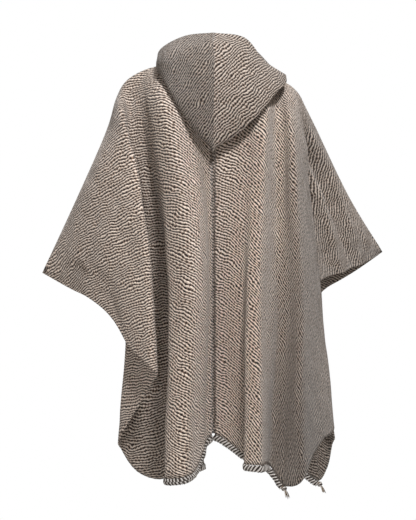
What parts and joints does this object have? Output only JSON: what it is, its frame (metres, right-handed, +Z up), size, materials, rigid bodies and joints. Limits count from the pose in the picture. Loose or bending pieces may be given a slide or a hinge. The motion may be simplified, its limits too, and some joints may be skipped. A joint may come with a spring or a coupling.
{
  "type": "hooded poncho",
  "caption": "Hooded wool poncho of two joined cloth widths, worn with the arms out, hood down the back, thick corded hems.",
  "frame": {"origin": "middle of the neck hole, level with the top of the shoulders, where the wearer's shoulders carry it", "axes": "+Z up, +Y towards the wearer's back, +X towards the wearer's left"},
  "size_m": [0.8895, 0.4514, 1.1577],
  "materials": {
    "wool_twill": "matt two-tone wool twill, dark brown and cream",
    "edge_yarn": "thick matt wool yarn, dark brown and off-white"
  },
  "bodies": {
    "root": {"panel_left": "wool_twill", "panel_right": "wool_twill", "hood_left": "wool_twill", "hood_right": "wool_twill", "hem_cord_back_left": "edge_yarn", "hem_cord_back_right": "edge_yarn", "hem_cord_front_left": "edge_yarn", "hem_cord_front_right": "edge_yarn"}
  },
  "joints": []
}
